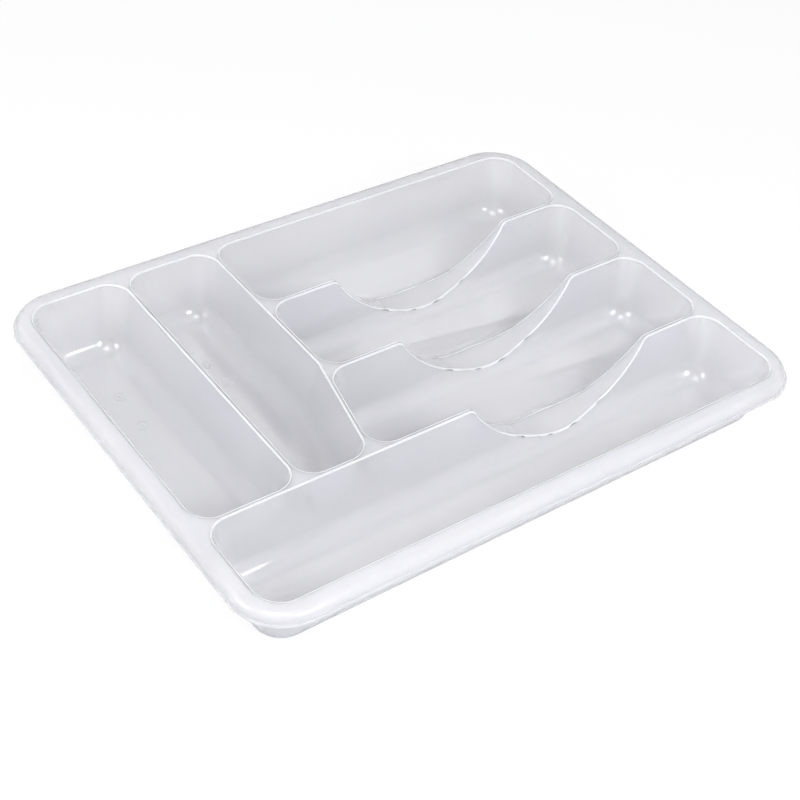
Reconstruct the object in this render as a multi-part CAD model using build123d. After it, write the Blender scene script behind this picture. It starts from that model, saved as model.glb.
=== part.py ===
from build123d import *
import os
from math import cos, radians, sqrt, tan

# A clear cutlery tray: one thin-walled moulding with six drafted wells that hang from
# a rolled rim. Every wall between two wells is hollow underneath, and three of them dip
# in a wide finger scoop. The moulding is divided here, on flat faces that touch, into the
# panels that a person would name. Millimetres, +Z up, origin under the middle of the tray.

# Walls and wells
wall = 1.6                    # skin of the moulding
well_depth = 43.4             # rim to the floor's upper face
wall_draft = 9.0              # slope of every well wall from upright, degrees
well_corner_r = 13.0          # upright corners inside a well
nest_corner_r = 16.0          # the four outermost upright corners of the wells
floor_bend_r = 13.0           # bend from wall to floor, inside
ridge_width = 3.0             # flat top between two wells

# Clear openings of the wells at the rim
outer_side_width = 63.8
inner_side_width = 61.0
row_length = 241.8
utensil_width = 67.2
front_row_width = 69.0
middle_row_width = 67.7
back_row_width = 65.7

# The wall beside the front row leans over to the left towards the front
slant_shift = 17.8
slant_length = 80.4

# Finger scoops
scoop_length = 137.4
scoop_depth = 39.7
scoop_entry_r = 6.0

# Rim
flange_reach = 13.0           # rim edge of the wells to the outer edge of the lip
flange_drop = 7.0
flange_roll_r = 4.5
skirt_draft = 3.0             # slope of the skirt below the roll, from upright, degrees
flange_corner_r = 32.0        # the tray's four corners, on the lip
lip_reach = 1.0
lip_height = 1.2
gusset_thickness = 1.2
gusset_setback = 17.5         # gusset's middle from the end of the nest of wells
floor_margin = 1.6            # flat strip of floor that stays with each wall
overrun = 5.0                 # how far a cutting tool runs past the tray

# Places that follow from the sizes
slope = tan(radians(wall_draft))
rim_z = well_depth + wall
half_bend = radians(90 - wall_draft) / 2
bend_reach = well_depth * slope + floor_bend_r * tan(half_bend)
edge_band = bend_reach + floor_margin
nest_length = outer_side_width + inner_side_width + row_length + 2 * ridge_width
nest_width = utensil_width + front_row_width + middle_row_width + back_row_width + 3 * ridge_width
left_x = -nest_length / 2
right_x = nest_length / 2
front_y = -nest_width / 2
back_y = nest_width / 2

half_ridge = ridge_width / 2
divider_half = half_ridge + edge_band
side_ridge_x = left_x + outer_side_width + half_ridge
row_ridge_x = side_ridge_x + inner_side_width + ridge_width
front_ridge_y = front_y + utensil_width + half_ridge
middle_ridge_y = front_ridge_y + front_row_width + ridge_width
back_ridge_y = middle_ridge_y + middle_row_width + ridge_width
slant_foot_x = row_ridge_x - slant_shift
slant_top_y = front_ridge_y + slant_length
scoop_x = row_ridge_x + half_ridge + row_length / 2


def slant_x(y, clearance):
    """X of the leaning wall's ridge at y, moved sideways by the clearance."""
    lean = slant_shift / slant_length
    return slant_foot_x + (y - front_ridge_y) * lean + clearance * sqrt(1 + lean * lean)


def inset(corners, distance):
    """Corners of a convex outline moved inwards by the distance, counterclockwise."""
    moved = []
    count = len(corners)
    for i in range(count):
        before = Vector(*corners[i - 1])
        here = Vector(*corners[i])
        after = Vector(*corners[(i + 1) % count])
        into = (here - before).normalized()
        out = (after - here).normalized()
        normal_in = Vector(-into.Y, into.X)
        normal_out = Vector(-out.Y, out.X)
        step = (normal_in + normal_out) * (distance / (1 + normal_in.dot(normal_out)))
        moved.append(((here + step).X, (here + step).Y))
    return moved


def drafted_block(corners, height, angle, radii):
    """Block down from the rim whose walls lean in by the angle, upright edges rounded."""
    top = make_face(Polyline(*[(x, y, rim_z) for x, y in corners], close=True))
    block = extrude(top, amount=height, dir=(0, 0, -1))
    block = draft(block.faces().filter_by(Plane.XY, reverse=True), Plane((0, 0, rim_z)), -angle)
    halfway = inset(corners, height / 2 * tan(radians(angle)))
    for radius in sorted(set(radii)):
        places = [(x, y, rim_z - height / 2) for (x, y), r in zip(halfway, radii) if r == radius]
        block = fillet([block.edges().sort_by_distance(place)[0] for place in places], radius)
    return block


def corner_radii(corners, nest_corners, skin):
    """Radius of each upright corner of a well, on the inside or a skin further out."""
    return [(nest_corner_r if i in nest_corners else well_corner_r) + skin
            for i in range(len(corners))]


def well_hollow(corners, nest_corners):
    """The space in a well from rim to floor, with a round bend where walls and floor meet."""
    radii = corner_radii(corners, nest_corners, 0)
    block = drafted_block(corners, well_depth, wall_draft, radii)
    return fillet(block.faces().sort_by(Axis.Z)[0].edges(), floor_bend_r)


def well_outside(corners, nest_corners):
    """The outside of a well's wall. Its bend is a facet that touches the bend's full round."""
    brim = inset(corners, -wall / cos(radians(wall_draft)))
    radii = corner_radii(corners, nest_corners, wall)
    block = drafted_block(brim, well_depth + wall, wall_draft, radii)
    facet = (floor_bend_r + wall) * tan(half_bend / 2) / cos(half_bend)
    return chamfer(block.faces().sort_by(Axis.Z)[0].edges(), facet)


def scoop_block(ridge_y, skin):
    """The finger scoop's hollow, or with a skin the underside of its saddle."""
    scoop_r = (scoop_length ** 2 / 4 + scoop_depth ** 2) / (2 * scoop_depth)
    centre_z = rim_z - scoop_depth + scoop_r
    reach = scoop_length / 2 + 2 * scoop_entry_r
    base_z = rim_z - skin
    top_z = rim_z if skin > 0 else rim_z + overrun
    disc = Circle(scoop_r + skin).located(Location((scoop_x, centre_z)))
    lower = Rectangle(2 * reach, scoop_depth + overrun, align=(Align.CENTER, Align.MAX))
    lower = lower.located(Location((scoop_x, base_z)))
    upper = Rectangle(2 * reach, top_z - base_z, align=(Align.CENTER, Align.MIN))
    upper = upper.located(Location((scoop_x, base_z)))
    profile = (disc & lower) + upper
    entries = [v for v in profile.vertices()
               if abs(v.Y - base_z) < wall / 2 and abs(v.X - scoop_x) < reach - scoop_entry_r]
    profile = fillet(entries, scoop_entry_r - skin)
    upright = Plane(origin=(0, ridge_y, 0), x_dir=(1, 0, 0), z_dir=(0, -1, 0))
    return extrude(upright * profile, amount=divider_half, both=True)


# The six wells, each by its clear corners at the rim, counterclockwise from front left
utensil_corners = [
    (left_x, front_y),
    (right_x, front_y),
    (right_x, front_ridge_y - half_ridge),
    (left_x, front_ridge_y - half_ridge),
]
outer_side_corners = [
    (left_x, front_ridge_y + half_ridge),
    (side_ridge_x - half_ridge, front_ridge_y + half_ridge),
    (side_ridge_x - half_ridge, back_y),
    (left_x, back_y),
]
inner_side_corners = [
    (side_ridge_x + half_ridge, front_ridge_y + half_ridge),
    (slant_x(front_ridge_y + half_ridge, -half_ridge), front_ridge_y + half_ridge),
    (row_ridge_x - half_ridge, slant_top_y),
    (row_ridge_x - half_ridge, back_y),
    (side_ridge_x + half_ridge, back_y),
]
front_row_corners = [
    (slant_x(front_ridge_y + half_ridge, half_ridge), front_ridge_y + half_ridge),
    (right_x, front_ridge_y + half_ridge),
    (right_x, middle_ridge_y - half_ridge),
    (slant_x(middle_ridge_y - half_ridge, half_ridge), middle_ridge_y - half_ridge),
]
middle_row_corners = [
    (row_ridge_x + half_ridge, middle_ridge_y + half_ridge),
    (right_x, middle_ridge_y + half_ridge),
    (right_x, back_ridge_y - half_ridge),
    (row_ridge_x + half_ridge, back_ridge_y - half_ridge),
]
back_row_corners = [
    (row_ridge_x + half_ridge, back_ridge_y + half_ridge),
    (right_x, back_ridge_y + half_ridge),
    (right_x, back_y),
    (row_ridge_x + half_ridge, back_y),
]

# Each well with the corners that are also corners of the nest
wells = [
    (utensil_corners, [0, 1]),
    (outer_side_corners, [3]),
    (inner_side_corners, []),
    (front_row_corners, []),
    (middle_row_corners, []),
    (back_row_corners, [2]),
]
scooped_ridges = [front_ridge_y, middle_ridge_y, back_ridge_y]


def rim_block(skin):
    """Block from the rim's plane down, within the skirt's outside less the skin."""
    skirt_x = right_x + flange_reach - lip_reach
    skirt_y = back_y + flange_reach - lip_reach
    foot = [(-skirt_x, -skirt_y), (skirt_x, -skirt_y), (skirt_x, skirt_y), (-skirt_x, skirt_y)]
    lean = flange_drop * tan(radians(skirt_draft))
    brim = inset(foot, lean + skin / cos(radians(skirt_draft)))
    radii = [flange_corner_r - lip_reach - skin] * len(brim)
    return drafted_block(brim, flange_drop, -skirt_draft, radii)


def rim_shell():
    """Deck and rolled flange in one skin, with the lip round its lower edge."""
    outside = rim_block(0)
    outside = fillet(outside.faces().sort_by(Axis.Z)[-1].edges(), flange_roll_r)
    inside = rim_block(wall)
    bevel = (flange_roll_r - wall) * (2 - sqrt(2))
    inside = chamfer(inside.faces().sort_by(Axis.Z)[-1].edges(), bevel)
    inside = inside.located(Location((0, 0, -wall)))
    lip = Box(nest_length + 2 * flange_reach, nest_width + 2 * flange_reach, lip_height,
              align=(Align.CENTER, Align.CENTER, Align.MIN))
    lip = lip.located(Location((0, 0, rim_z - flange_drop)))
    lip = fillet(lip.edges().filter_by(Axis.Z), flange_corner_r)
    return outside, outside + lip - inside


def gussets(rim_outside):
    """Four upright webs under the flange, front and back, just inside the corners."""
    webs = []
    for x in (left_x + gusset_setback, right_x - gusset_setback):
        for side in (-1, 1):
            web = Box(gusset_thickness, flange_reach, flange_drop,
                      align=(Align.CENTER, Align.MIN if side > 0 else Align.MAX, Align.MAX))
            web = web.located(Location((x, side * nest_width / 2, rim_z)))
            webs.append(web & rim_outside)
    return webs


def moulding():
    """The whole tray in one skin."""
    rim_outside, rim = rim_shell()
    outsides = [well_outside(corners, nest_corners) for corners, nest_corners in wells]
    saddles = [scoop_block(ridge_y, wall) for ridge_y in scooped_ridges]
    hollows = [well_hollow(corners, nest_corners) for corners, nest_corners in wells]
    scoops = [scoop_block(ridge_y, 0) for ridge_y in scooped_ridges]
    return rim + gussets(rim_outside) + outsides + saddles - hollows - scoops


# Panels in plan: the floors, the bands along the dividers, and the four sides
far_x = right_x + flange_reach + overrun
far_y = back_y + flange_reach + overrun


def panel(points):
    """Upright prism over a region of the plan, through the whole height."""
    face = make_face(Polyline(*[(x, y, -overrun) for x, y in points], close=True))
    return extrude(face, amount=rim_z + 2 * overrun, dir=(0, 0, 1))


def block(x0, y0, x1, y1):
    return panel([(x0, y0), (x1, y0), (x1, y1), (x0, y1)])


in_left = left_x + edge_band
in_right = right_x - edge_band
in_front = front_y + edge_band
in_back = back_y - edge_band
row_left = row_ridge_x + divider_half
floor_front = front_ridge_y + divider_half
inner_side_floor = inset(inner_side_corners, edge_band)
front_row_floor = inset(front_row_corners, edge_band)
slanted_band = [
    inner_side_floor[1],
    front_row_floor[0],
    front_row_floor[3],
    (row_left, middle_ridge_y - divider_half),
    (row_left, in_back),
    inner_side_floor[3],
    inner_side_floor[2],
]

panels = {
    "front_side": block(-far_x, -far_y, far_x, in_front),
    "back_side": block(-far_x, in_back, far_x, far_y),
    "left_side": block(-far_x, in_front, in_left, in_back),
    "right_side": block(in_right, in_front, far_x, in_back),
    "front_divider": block(in_left, front_ridge_y - divider_half, in_right, floor_front),
    "middle_divider": block(row_left, middle_ridge_y - divider_half,
                            in_right, middle_ridge_y + divider_half),
    "back_divider": block(row_left, back_ridge_y - divider_half,
                          in_right, back_ridge_y + divider_half),
    "side_divider": block(side_ridge_x - divider_half, floor_front,
                          side_ridge_x + divider_half, in_back),
    "row_end_divider": panel(slanted_band),
    "utensil_floor": block(in_left, in_front, in_right, front_ridge_y - divider_half),
    "outer_side_floor": panel(inset(outer_side_corners, edge_band)),
    "inner_side_floor": panel(inner_side_floor),
    "front_row_floor": panel(front_row_floor),
    "middle_row_floor": panel(inset(middle_row_corners, edge_band)),
    "back_row_floor": panel(inset(back_row_corners, edge_band)),
}

os.makedirs("parts", exist_ok=True)
tray = moulding()
total = 0.0
for name, prism in panels.items():
    piece = tray & prism
    piece.label = name
    total += piece.volume
    print(name, len(piece.solids()), "solid", round(piece.volume), "mm3")
    export_step(piece, os.path.join("parts", name + ".step"))
print("whole moulding", round(tray.volume), "mm3, panels", round(total), "mm3")
print("length", round(tray.bounding_box().size.X, 2), "width", round(tray.bounding_box().size.Y, 2),
      "height", round(tray.bounding_box().size.Z, 2))
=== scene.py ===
from math import asin, cos, hypot, radians, sin, sqrt, tan

import bmesh
import bpy
from mathutils import Matrix, Vector


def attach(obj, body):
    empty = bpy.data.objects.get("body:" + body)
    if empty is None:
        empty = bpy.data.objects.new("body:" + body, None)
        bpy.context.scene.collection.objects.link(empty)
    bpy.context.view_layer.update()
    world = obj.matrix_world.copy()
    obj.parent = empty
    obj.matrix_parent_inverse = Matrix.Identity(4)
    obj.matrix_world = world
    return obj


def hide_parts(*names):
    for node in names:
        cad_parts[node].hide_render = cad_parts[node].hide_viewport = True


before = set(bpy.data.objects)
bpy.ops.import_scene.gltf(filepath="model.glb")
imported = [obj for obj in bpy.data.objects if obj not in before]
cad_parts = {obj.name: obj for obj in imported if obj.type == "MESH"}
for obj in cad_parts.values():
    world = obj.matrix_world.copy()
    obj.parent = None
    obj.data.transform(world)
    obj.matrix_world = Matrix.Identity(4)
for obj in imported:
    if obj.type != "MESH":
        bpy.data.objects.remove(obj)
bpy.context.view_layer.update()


# Rolled rim, moulded in one milky skin with the wells: a flat deck round the nest of wells that
# rolls over into a short drafted skirt with a thin lip at its foot. Four webs stiffen it from
# below, front and back, just inside the corners.
WALL = 0.0016
RIM_Z = 0.045
NEST_X, NEST_Y = 0.1863, 0.1393
FLANGE_REACH, FLANGE_DROP, FLANGE_ROLL = 0.013, 0.007, 0.0045
SKIRT_DRAFT = 3.0
CORNER_R = 0.032
LIP_REACH, LIP_HEIGHT = 0.001, 0.0012
WEB_INSET, WEB_OUT, WEB_DROP = 0.0175, 0.008, 0.005
WEB_SIZE = (0.0012, 0.018, 0.016)
NEAR = 1e-5


def take(form):
    """Makes the form the active object and the only selected one."""
    bpy.ops.object.select_all(action="DESELECT")
    form.select_set(True)
    bpy.context.view_layer.objects.active = form


def face_outwards():
    bpy.ops.mesh.select_all(action="SELECT")
    bpy.ops.mesh.normals_make_consistent(inside=False)


def round_picked(offset, segments, **more):
    """Rounds the selected edges, starting each round at the offset from its edge."""
    bpy.ops.mesh.bevel(offset=offset, offset_type="OFFSET", segments=segments, profile=0.5,
                       affect="EDGES", clamp_overlap=False, **more)


def pick_edges(form, wanted):
    """Selects the edges that the test wants and nothing else, in edit mode."""
    bpy.ops.mesh.select_all(action="DESELECT")
    bpy.ops.mesh.select_mode(type="EDGE")
    bpy.ops.object.mode_set(mode="OBJECT")
    for edge in form.data.edges:
        edge.select = wanted(edge)
    bpy.ops.object.mode_set(mode="EDIT")


def ends(form, edge):
    return [form.data.vertices[v].co for v in edge.vertices]


def upright(form, edge, low, high):
    a, b = sorted(v.z for v in ends(form, edge))
    return a < low + NEAR and b > high - NEAR


def level_at(form, edge, z):
    return all(abs(v.z - z) < NEAR for v in ends(form, edge))


def over(form, edge, corner):
    """Whether an end of the edge lies over the corner in plan."""
    return min(hypot(v.x - corner[0], v.y - corner[1]) for v in ends(form, edge)) < NEAR


def rectangle(x0, y0, x1, y1):
    return [(x0, y0), (x1, y0), (x1, y1), (x0, y1)]


def moved_in(corners, distance):
    """Corners of a convex outline moved in by the distance, counterclockwise."""
    moved = []
    for i, here in enumerate(corners):
        before, after = corners[i - 1], corners[(i + 1) % len(corners)]
        into = (Vector(here) - Vector(before)).normalized()
        out = (Vector(after) - Vector(here)).normalized()
        normal_in, normal_out = Vector((-into.y, into.x)), Vector((-out.y, out.x))
        step = (normal_in + normal_out) * (distance / (1 + normal_in.dot(normal_out)))
        moved.append((here[0] + step.x, here[1] + step.y))
    return moved


def outline_face(name, corners, z):
    """A flat face with the given corners, counterclockwise, left in edit mode and selected."""
    bpy.ops.object.select_all(action="DESELECT")
    bpy.ops.mesh.primitive_circle_add(vertices=len(corners), radius=0.1, fill_type="NGON")
    face = bpy.context.object
    face.name = name
    for vertex, (x, y) in zip(face.data.vertices, corners):
        vertex.co = (x, y, z)
    bpy.ops.object.mode_set(mode="EDIT")
    face_outwards()
    return face


def drafted_form(name, corners, top, foot, draft, radii, bend, segments=14):
    """Closed block with walls that lean by the draft from the brim down, upright corners rounded by
    the given radii, and a bend round its lower edge. A square corner gets the given segments."""
    form = outline_face(name, corners, top)
    bpy.ops.mesh.extrude_region_move(TRANSFORM_OT_translate={"value": (0, 0, foot - top)})
    face_outwards()
    bpy.ops.object.mode_set(mode="OBJECT")
    foot_corners = moved_in(corners, (top - foot) * tan(radians(draft)))
    for vertex in form.data.vertices:
        if abs(vertex.co.z - foot) < NEAR:
            away = [hypot(x - vertex.co.x, y - vertex.co.y) for x, y in corners]
            x, y = foot_corners[away.index(min(away))]
            vertex.co = (x, y, foot)
    bpy.ops.object.mode_set(mode="EDIT")
    for i, radius in enumerate(radii):
        pick_edges(form, lambda e: upright(form, e, foot, top) and over(form, e, corners[i]))
        here = Vector(corners[i])
        before, after = Vector(corners[i - 1]), Vector(corners[(i + 1) % len(corners)])
        turn = (here - before).angle(after - here)
        round_picked(radius * tan(turn / 2), max(2, round(segments * turn / radians(90))))
    if bend:
        pick_edges(form, lambda e: level_at(form, e, foot))
        round_picked(bend * tan(radians(90 - draft) / 2), segments)
    bpy.ops.object.mode_set(mode="OBJECT")
    return form


def apply_boolean(form, tools, operation):
    """Joins the tools to the form or cuts them from it, and takes the tools away."""
    group = bpy.data.collections.new("tools")
    bpy.context.scene.collection.children.link(group)
    for tool in tools:
        for old in list(tool.users_collection):
            old.objects.unlink(tool)
        group.objects.link(tool)
    take(form)
    cut = form.modifiers.new("cut", "BOOLEAN")
    cut.operation = operation
    cut.solver = "EXACT"
    cut.operand_type = "COLLECTION"
    cut.collection = group
    bpy.ops.object.modifier_apply(modifier=cut.name)
    for tool in tools:
        bpy.data.objects.remove(tool)
    bpy.data.collections.remove(group)


def rim_form(name, skin):
    """The rim's block, or with a skin the space under it."""
    foot = rectangle(-NEST_X - FLANGE_REACH + LIP_REACH, -NEST_Y - FLANGE_REACH + LIP_REACH,
                     NEST_X + FLANGE_REACH - LIP_REACH, NEST_Y + FLANGE_REACH - LIP_REACH)
    lean = FLANGE_DROP * tan(radians(SKIRT_DRAFT))
    brim = moved_in(foot, lean + skin / cos(radians(SKIRT_DRAFT)))
    top = RIM_Z - skin
    form = drafted_form(name, brim, top, RIM_Z - FLANGE_DROP - skin, -SKIRT_DRAFT,
                        [CORNER_R - LIP_REACH - skin] * 4, 0, segments=20)
    bpy.ops.object.mode_set(mode="EDIT")
    pick_edges(form, lambda e: level_at(form, e, top))
    round_picked((FLANGE_ROLL - skin) * tan(radians(90 - SKIRT_DRAFT) / 2), 8)
    bpy.ops.object.mode_set(mode="OBJECT")
    return form


tray = rim_form("tray_shell", 0)

lip_z = RIM_Z - FLANGE_DROP
lip = outline_face("lip", rectangle(-NEST_X - FLANGE_REACH, -NEST_Y - FLANGE_REACH,
                                    NEST_X + FLANGE_REACH, NEST_Y + FLANGE_REACH), lip_z)
bpy.ops.mesh.extrude_region_move(TRANSFORM_OT_translate={"value": (0, 0, LIP_HEIGHT)})
face_outwards()
pick_edges(lip, lambda e: upright(lip, e, lip_z, lip_z + LIP_HEIGHT))
round_picked(CORNER_R, 24)
bpy.ops.object.mode_set(mode="OBJECT")
apply_boolean(tray, [lip], "UNION")

under_rim = rim_form("under_rim", WALL)
webs = []
for x in (-NEST_X + WEB_INSET, NEST_X - WEB_INSET):
    for side in (-1, 1):
        bpy.ops.object.select_all(action="DESELECT")
        bpy.ops.mesh.primitive_cube_add(
            size=1, location=(x, side * (NEST_Y + WEB_OUT), RIM_Z - WEB_DROP), scale=WEB_SIZE)
        webs.append(bpy.context.object)
        bpy.ops.object.transform_apply(location=True, rotation=True, scale=True)
apply_boolean(under_rim, webs, "DIFFERENCE")
apply_boolean(tray, [under_rim], "DIFFERENCE")


# The six wells hang from the deck, in the same skin: two lengthwise on the left, three short rows
# and the wide front one. Every wall leans 9 degrees so that the tray leaves its mould, and the
# walls between wells are hollow underneath, with a narrow ridge on top.
DRAFT = 9.0
CORNER, NEST_CORNER, BEND = 0.014, 0.016, 0.013
RIDGE = 0.003
FRONT_RIDGE, MIDDLE_RIDGE, BACK_RIDGE = -0.0706, 0.0014, 0.0721
SIDE_RIDGE, ROW_RIDGE = -0.1210, -0.0570
SLANT_SHIFT, SLANT_LENGTH = 0.0178, 0.0804


def slant_x(y, clearance):
    """X of the leaning wall's ridge at y, moved sideways by the clearance."""
    lean = SLANT_SHIFT / SLANT_LENGTH
    return ROW_RIDGE - SLANT_SHIFT + (y - FRONT_RIDGE) * lean + clearance * sqrt(1 + lean * lean)


half = RIDGE / 2
low_y = FRONT_RIDGE + half
wells = {
    "utensil": (rectangle(-NEST_X, -NEST_Y, NEST_X, FRONT_RIDGE - half), (0, 1)),
    "outer_side": (rectangle(-NEST_X, low_y, SIDE_RIDGE - half, NEST_Y), (3,)),
    "inner_side": ([(SIDE_RIDGE + half, low_y), (slant_x(low_y, -half), low_y),
                    (ROW_RIDGE - half, FRONT_RIDGE + SLANT_LENGTH), (ROW_RIDGE - half, NEST_Y),
                    (SIDE_RIDGE + half, NEST_Y)], ()),
    "front_row": ([(slant_x(low_y, half), low_y), (NEST_X, low_y), (NEST_X, MIDDLE_RIDGE - half),
                   (slant_x(MIDDLE_RIDGE - half, half), MIDDLE_RIDGE - half)], ()),
    "middle_row": (rectangle(ROW_RIDGE + half, MIDDLE_RIDGE + half, NEST_X, BACK_RIDGE - half), ()),
    "back_row": (rectangle(ROW_RIDGE + half, BACK_RIDGE + half, NEST_X, NEST_Y), (2,)),
}


def well_form(name, corners, nest_corners, skin, top):
    """The hollow of a well, or with a skin the outside of its wall."""
    brim = moved_in(corners, -skin / cos(radians(DRAFT)) - (top - RIM_Z) * tan(radians(DRAFT)))
    radii = [(NEST_CORNER if i in nest_corners else CORNER) + skin for i in range(len(corners))]
    return drafted_form(name, brim, top, WALL - skin, DRAFT, radii, BEND + skin)


# Three of the walls between wells dip in a wide finger scoop: a circular arc with rounded
# entries, and a saddle of the same skin that closes the hollow wall along it.
ROW_LENGTH = 0.2418
SCOOP_X = ROW_RIDGE + half + ROW_LENGTH / 2
SCOOP_LENGTH, SCOOP_DEPTH, SCOOP_WIDTH, ENTRY = 0.1374, 0.0397, 0.038, 0.006
SCOOP_R = (SCOOP_LENGTH ** 2 / 4 + SCOOP_DEPTH ** 2) / (2 * SCOOP_DEPTH)
SCOOP_Z = RIM_Z - SCOOP_DEPTH + SCOOP_R
SCOOP_STEPS, ENTRY_STEPS = 72, 10
ENTRY_X = sqrt((SCOOP_R + ENTRY) ** 2 - (SCOOP_Z - RIM_Z + ENTRY) ** 2)
SWEEP = asin(ENTRY_X / (SCOOP_R + ENTRY))
# These keep the faces of joined forms out of one plane.
NUDGE = 0.00002
OUTSIDE_DROP, SADDLE_DROP = 0.0005, 0.0004


def scoop_form(name, ridge, skin, top):
    """The scoop's hollow, or with a skin the underside of its saddle: one chain of arcs, filled and
    drawn out across the wall. The nudge keeps it off the plane of the deck."""
    near_y = ridge - SCOOP_WIDTH / 2
    brim_z = RIM_Z - skin + NUDGE
    bpy.ops.object.select_all(action="DESELECT")
    bpy.ops.mesh.primitive_plane_add(size=0.001, location=(SCOOP_X - ENTRY_X, near_y, brim_z))
    form = bpy.context.object
    form.name = name
    bpy.ops.object.transform_apply(location=True, rotation=False, scale=False)
    bpy.ops.object.mode_set(mode="EDIT")
    bpy.ops.mesh.select_mode(type="VERT")
    bpy.ops.mesh.select_all(action="SELECT")
    bpy.ops.mesh.merge(type="CENTER")
    for x, z, angle, steps in ((SCOOP_X - ENTRY_X, RIM_Z - ENTRY, -SWEEP, ENTRY_STEPS),
                               (SCOOP_X, SCOOP_Z, 2 * SWEEP, SCOOP_STEPS),
                               (SCOOP_X + ENTRY_X, RIM_Z - ENTRY, -SWEEP, ENTRY_STEPS)):
        bpy.ops.mesh.spin(steps=steps, angle=angle, center=(x, near_y, z), axis=(0, 1, 0))
    for move in ((0, 0, top - brim_z), (-2 * ENTRY_X, 0, 0), (0, 0, brim_z - top)):
        bpy.ops.mesh.extrude_region_move(TRANSFORM_OT_translate={"value": move})
    bpy.ops.mesh.select_all(action="SELECT")
    bpy.ops.mesh.remove_doubles(threshold=NEAR)
    bpy.ops.mesh.edge_face_add()
    bpy.ops.mesh.select_all(action="SELECT")
    bpy.ops.mesh.extrude_region_move(TRANSFORM_OT_translate={"value": (0, SCOOP_WIDTH, 0)})
    face_outwards()
    bpy.ops.object.mode_set(mode="OBJECT")
    return form


ridges = {"front": FRONT_RIDGE, "middle": MIDDLE_RIDGE, "back": BACK_RIDGE}
outsides = [well_form(name + "_outside", corners, nest, WALL, RIM_Z - OUTSIDE_DROP)
            for name, (corners, nest) in wells.items()]
outsides += [scoop_form(name + "_saddle", ridge, WALL, RIM_Z - SADDLE_DROP)
             for name, ridge in ridges.items()]
apply_boolean(tray, outsides, "UNION")


# The mould leaves low marks on the floors: the two rings of an insert, twice in each side well, and
# two gate dots in the front well. They are taken out of each well's hollow before it is cut from
# the skin, so they stay standing on its floor.
INSERT_RINGS, GATE_DOT = (0.0042, 0.0018), (0.0005,)
MARK_HEIGHT = 0.0003
# The hollows start above the deck and cut down through it.
HOLLOW_RISE, SCOOP_RISE = 0.003, 0.004
marks = {
    "outer_side": (INSERT_RINGS, [(-0.1524, 0.0844), (-0.1524, 0.0550)]),
    "inner_side": (INSERT_RINGS, [(-0.0911, 0.0844), (-0.0882, 0.0638)]),
    "utensil": (GATE_DOT, [(-0.1230, -0.0843), (-0.0914, -0.0849)]),
}


def cut_floor_bend(hollow):
    """Cuts the long facets of the floor bend at every second corner of the scoop's arc, so that
    easing the scoop's edge tilts only short ones."""
    take(hollow)
    bpy.ops.object.mode_set(mode="EDIT")
    for step in range(2, SCOOP_STEPS, 2):
        x = SCOOP_X + SCOOP_R * sin((2 * step / SCOOP_STEPS - 1) * SWEEP)
        bpy.ops.mesh.select_all(action="SELECT")
        bpy.ops.mesh.bisect(plane_co=(x, 0, 0), plane_no=(1, 0, 0))
    bpy.ops.object.mode_set(mode="OBJECT")


hollows = []
for name, (corners, nest) in wells.items():
    hollow = well_form(name + "_hollow", corners, nest, 0, RIM_Z + HOLLOW_RISE)
    if name in ("utensil", "front_row", "middle_row", "back_row"):
        cut_floor_bend(hollow)
    radii, places = marks.get(name, ((), ()))
    for x, y in places:
        for radius in radii:
            bpy.ops.object.select_all(action="DESELECT")
            bpy.ops.mesh.primitive_torus_add(location=(x, y, WALL + NUDGE), major_radius=radius,
                                             minor_radius=MARK_HEIGHT, major_segments=36, minor_segments=10)
            mark = bpy.context.object
            bpy.ops.object.transform_apply(location=True, rotation=True, scale=True)
            apply_boolean(hollow, [mark], "DIFFERENCE")
    hollows.append(hollow)
hollows += [scoop_form(name + "_scoop", ridge, 0, RIM_Z + SCOOP_RISE) for name, ridge in ridges.items()]
apply_boolean(tray, hollows, "DIFFERENCE")


# The plastic is translucent milky polystyrene, glossy from the polished mould. Its thin walls bend
# what is seen through them too little to show, so the body hardly refracts and the gloss is a coat.
def map_range(nodes, from_min, from_max, to_min=0.0, to_max=1.0):
    ranged = nodes.new("ShaderNodeMapRange")
    ranged.inputs["From Min"].default_value = from_min
    ranged.inputs["From Max"].default_value = from_max
    ranged.inputs["To Min"].default_value = to_min
    ranged.inputs["To Max"].default_value = to_max
    return ranged


flow = bpy.data.node_groups.new("moulded_flow", "ShaderNodeTree")
for socket in ("Cloud", "Roughness", "Height"):
    flow.interface.new_socket(socket, in_out="OUTPUT", socket_type="NodeSocketFloat")
surface = flow.nodes.new("ShaderNodeTexCoord")
cloud = flow.nodes.new("ShaderNodeTexNoise")
cloud.inputs["Scale"].default_value = 16
cloud.inputs["Detail"].default_value = 3
cloud.inputs["Distortion"].default_value = 0.6
grain = flow.nodes.new("ShaderNodeTexNoise")
grain.inputs["Scale"].default_value = 700
grain.inputs["Detail"].default_value = 2
polish = map_range(flow.nodes, 0.35, 0.65, 0.14, 0.26)
flow_out = flow.nodes.new("NodeGroupOutput")
flow.links.new(surface.outputs["Object"], cloud.inputs["Vector"])
flow.links.new(surface.outputs["Object"], grain.inputs["Vector"])
flow.links.new(cloud.outputs["Fac"], polish.inputs["Value"])
flow.links.new(cloud.outputs["Fac"], flow_out.inputs["Cloud"])
flow.links.new(polish.outputs["Result"], flow_out.inputs["Roughness"])
flow.links.new(grain.outputs["Fac"], flow_out.inputs["Height"])


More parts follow.
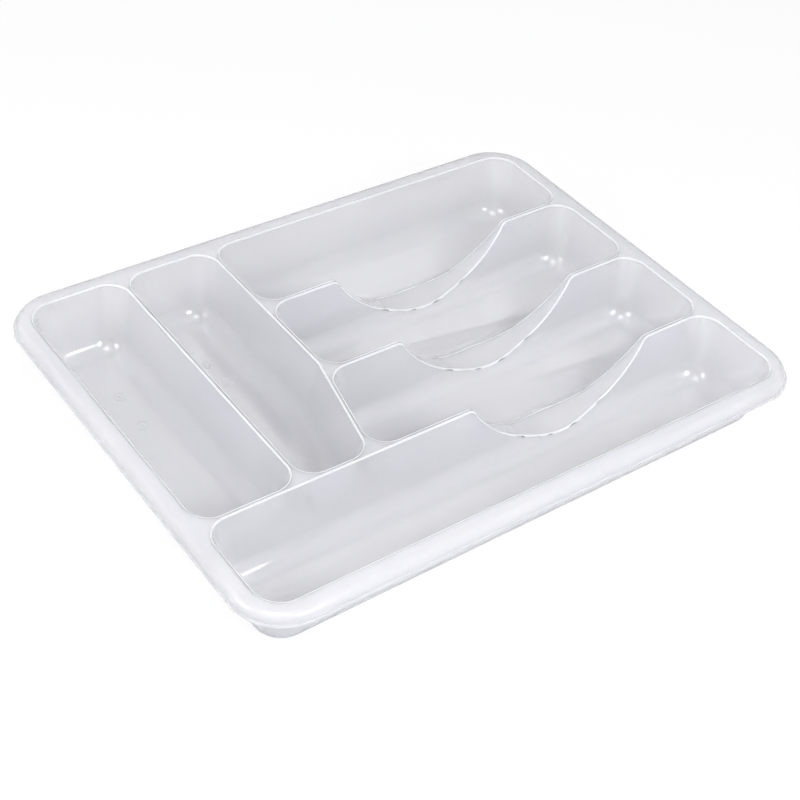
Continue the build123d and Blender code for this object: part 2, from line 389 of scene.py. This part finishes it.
def moulded_plastic(name, clear, milky, transmission):
    """Glossy moulded plastic that drifts between a clearer and a milkier tint."""
    plastic = bpy.data.materials.new(name)
    plastic.use_nodes = True
    nodes, links = plastic.node_tree.nodes, plastic.node_tree.links
    bsdf = nodes["Principled BSDF"]
    bsdf.inputs["IOR"].default_value = 1.05
    bsdf.inputs["Transmission Weight"].default_value = transmission
    bsdf.inputs["Coat Weight"].default_value = 1.0
    bsdf.inputs["Coat Roughness"].default_value = 0.04
    bsdf.inputs["Coat IOR"].default_value = 1.5
    moulded = nodes.new("ShaderNodeGroup")
    moulded.node_tree = flow
    tint = nodes.new("ShaderNodeMix")
    tint.data_type = "RGBA"
    tint.inputs["A"].default_value = clear
    tint.inputs["B"].default_value = milky
    bump = nodes.new("ShaderNodeBump")
    bump.inputs["Strength"].default_value = 0.1
    bump.inputs["Distance"].default_value = 0.00002
    links.new(moulded.outputs["Cloud"], tint.inputs["Factor"])
    links.new(tint.outputs["Result"], bsdf.inputs["Base Color"])
    links.new(moulded.outputs["Roughness"], bsdf.inputs["Roughness"])
    links.new(moulded.outputs["Height"], bump.inputs["Height"])
    links.new(bump.outputs["Normal"], bsdf.inputs["Normal"])
    return plastic


tray.data.materials.clear()
tray.data.materials.append(moulded_plastic(
    "clear_polystyrene", (0.985, 0.985, 0.998, 1), (0.94, 0.94, 0.98, 1), 0.7))


# The brims of the wells and the edges of the scoops are eased in the mould. The eased strips are a less
# clear plastic whose colour is painted white at a grazing angle and painted grey shade where they face the
# eye: a painted highlight along the brims.
EASE = 0.0008
EASED_FROM = radians(40)
BRIM_SLACK, LOOKS_UP = 0.0005, 0.2
WELD = 2e-6
# Painted highlight: the eased strips let little light through, so they read as bright white lines.
painted_highlight_plastic = moulded_plastic("painted_brim_highlight", (0.985, 0.985, 1, 1), (0.95, 0.95, 0.985, 1), 0.1)
nodes, links = painted_highlight_plastic.node_tree.nodes, painted_highlight_plastic.node_tree.links
colour = nodes["Principled BSDF"].inputs["Base Color"]
glance = nodes.new("ShaderNodeLayerWeight")
glance.inputs["Blend"].default_value = 0.5
grazing = map_range(nodes, 0.15, 0.5)
# Painted highlight and shade: the colour is painted grey where the strip faces the eye and near white
# towards a grazing angle.
painted_highlight_and_shade = nodes.new("ShaderNodeMix")
painted_highlight_and_shade.data_type = "RGBA"
painted_highlight_and_shade.inputs["A"].default_value = (0.86, 0.86, 0.9, 1)
links.new(glance.outputs["Facing"], grazing.inputs["Value"])
links.new(grazing.outputs["Result"], painted_highlight_and_shade.inputs["Factor"])
links.new(colour.links[0].from_socket, painted_highlight_and_shade.inputs["B"])
links.new(painted_highlight_and_shade.outputs["Result"], colour)
tray.data.materials.append(painted_highlight_plastic)

take(tray)
bpy.ops.object.mode_set(mode="EDIT")
bpy.ops.mesh.select_mode(type="EDGE")
bpy.ops.mesh.select_all(action="SELECT")
bpy.ops.mesh.remove_doubles(threshold=WELD)
bpy.ops.mesh.select_all(action="DESELECT")
shape = bmesh.from_edit_mesh(tray.data)
for edge in shape.edges:
    if len(edge.link_faces) == 2 and edge.calc_face_angle_signed() > EASED_FROM:
        middle = (edge.verts[0].co + edge.verts[1].co) / 2
        facing = edge.link_faces[0].normal + edge.link_faces[1].normal
        in_nest = abs(middle.x) < NEST_X + BRIM_SLACK and abs(middle.y) < NEST_Y + BRIM_SLACK
        if in_nest and facing.z > LOOKS_UP:
            edge.select_set(True)
bmesh.update_edit_mesh(tray.data)
# The eased strips get the plastic with the painted highlight and shade.
round_picked(EASE, 4, material=1)
bpy.ops.object.mode_set(mode="OBJECT")

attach(tray, "root")
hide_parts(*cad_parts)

bpy.ops.object.shade_smooth_by_angle(angle=radians(30))
weigh = tray.modifiers.new("weigh", "WEIGHTED_NORMAL")
weigh.keep_sharp = True
weigh.weight = 50
bpy.ops.object.modifier_apply(modifier=weigh.name)


# Studio floor, a plain pale sheet. It shows near white to the camera and keeps the tray's soft
# shadow, and it lights the tray from below as a grey sheet does.
FLOOR_GLOW, GLOW_SEEN = 1.12, 0.75
bpy.ops.object.select_all(action="DESELECT")
bpy.ops.mesh.primitive_plane_add(size=6, location=(0, 0, 0))
ground = bpy.context.object
ground.name = "ground"
pale = bpy.data.materials.new("pale_ground")
pale.use_nodes = True
nodes, links = pale.node_tree.nodes, pale.node_tree.links
nodes["Principled BSDF"].inputs["Base Color"].default_value = (0.68, 0.68, 0.69, 1)
nodes["Principled BSDF"].inputs["Roughness"].default_value = 0.8
glow = nodes.new("ShaderNodeEmission")
glow.inputs["Strength"].default_value = FLOOR_GLOW
seen = nodes.new("ShaderNodeLightPath")
share = nodes.new("ShaderNodeMath")
share.operation = "MULTIPLY"
share.inputs[1].default_value = GLOW_SEEN
blend = nodes.new("ShaderNodeMixShader")
links.new(seen.outputs["Is Camera Ray"], share.inputs[0])
links.new(share.outputs[0], blend.inputs["Fac"])
links.new(nodes["Principled BSDF"].outputs[0], blend.inputs[1])
links.new(glow.outputs[0], blend.inputs[2])
links.new(blend.outputs[0], nodes["Material Output"].inputs["Surface"])
ground.data.materials.append(pale)


# The room round the floor is grey paper that brightens towards the front left. It is white to the
# camera and pale through the plastic.
ROOM_DARK, ROOM_LIGHT, ROOM_THROUGH = 0.36, 0.52, 0.8
ROOM_TOWARDS, ROOM_SPREAD = Vector((-0.5, -0.6, 0.3)), 0.7
world = bpy.data.worlds.new("studio")
bpy.context.scene.world = world
world.use_nodes = True
nodes, links = world.node_tree.nodes, world.node_tree.links
towards = nodes.new("ShaderNodeTexCoord")
level = nodes.new("ShaderNodeVectorMath")
level.operation = "DOT_PRODUCT"
level.inputs[1].default_value = ROOM_TOWARDS.normalized()
strength = map_range(nodes, -ROOM_SPREAD, ROOM_SPREAD, ROOM_DARK, ROOM_LIGHT)
seen = nodes.new("ShaderNodeLightPath")
through = nodes.new("ShaderNodeMix")
through.inputs["B"].default_value = ROOM_THROUGH
choose = nodes.new("ShaderNodeMix")
choose.inputs["B"].default_value = 1
links.new(towards.outputs["Generated"], level.inputs[0])
links.new(level.outputs["Value"], strength.inputs["Value"])
links.new(seen.outputs["Is Transmission Ray"], through.inputs["Factor"])
links.new(strength.outputs["Result"], through.inputs["A"])
links.new(seen.outputs["Is Camera Ray"], choose.inputs["Factor"])
links.new(through.outputs["Result"], choose.inputs["A"])
links.new(choose.outputs["Result"], nodes["Background"].inputs["Strength"])
nodes["Background"].inputs["Color"].default_value = (1, 1, 1, 1)


# Three round soft lamps, placed so that only the bent corners of the wells mirror them to the
# camera. Each one faces the middle of the tray.
LAMP_SIZE = 0.5
for place, power in (((-1.04, 0.15, 0.75), 4.8), ((-0.36, -0.25, 1.2), 3.6), ((0.1, -0.98, 0.85), 7.2)):
    bpy.ops.object.light_add(type="AREA", location=place)
    lamp = bpy.context.object
    lamp.data.shape = "DISK"
    lamp.data.size = LAMP_SIZE
    lamp.data.energy = power
    lamp.rotation_euler = Vector(place).to_track_quat("Z", "Y").to_euler()


# The camera stands where the tray's straight edges run as they do in the picture. Forward is its
# line of sight, and down points to the lower side of the picture.
CAMERA_PLACE = Vector((-0.4747, -0.5629, 0.6385))
FOCAL_PIXELS, FRAME_PIXELS, SENSOR = 1543.5, 800, 36
bpy.ops.object.camera_add()
camera = bpy.context.object
forward = Vector((0.4862, 0.5761, -0.6571)).normalized()
down = Vector((-0.3335, -0.5727, -0.7489))
up = -(down - forward * down.dot(forward)).normalized()
right = forward.cross(up)
turn = Matrix((right, up, -forward)).transposed().to_4x4()
camera.matrix_world = Matrix.Translation(CAMERA_PLACE) @ turn
camera.data.lens = FOCAL_PIXELS / FRAME_PIXELS * SENSOR
bpy.context.scene.camera = camera
bpy.context.scene.view_settings.view_transform = "Standard"
